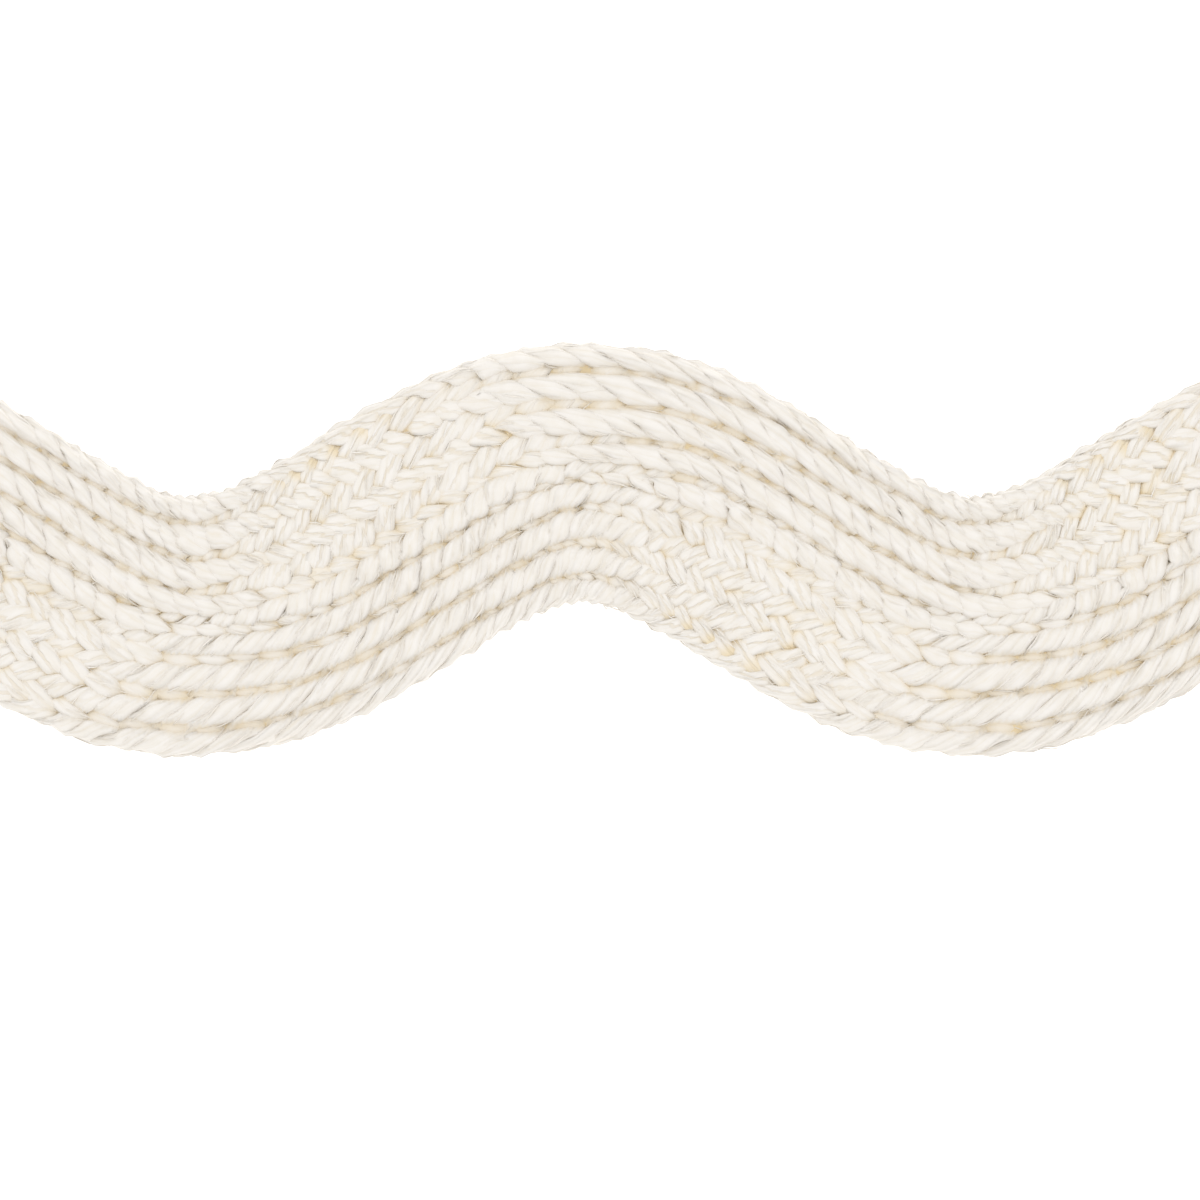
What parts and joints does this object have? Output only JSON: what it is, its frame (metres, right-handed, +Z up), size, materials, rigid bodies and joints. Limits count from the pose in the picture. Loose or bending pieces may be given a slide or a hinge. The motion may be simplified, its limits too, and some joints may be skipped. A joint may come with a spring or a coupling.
{
  "type": "length of ric rac braid",
  "caption": "Cut length of wide ivory cotton ric rac: a thick flat-braided trimming that swings in even waves, lying flat with square-cut ends.",
  "frame": {"origin": "on the underside, below the middle of the cut length and halfway across the waves", "axes": "+X along the length, +Y across the waves, with a crest at x = 0, and +Z up out of the face"},
  "size_m": [0.1424, 0.0378, 0.0026],
  "materials": {
    "cotton_yarn": "matt"
  },
  "bodies": {
    "root": {"ric_rac_braid": "cotton_yarn"}
  },
  "joints": []
}
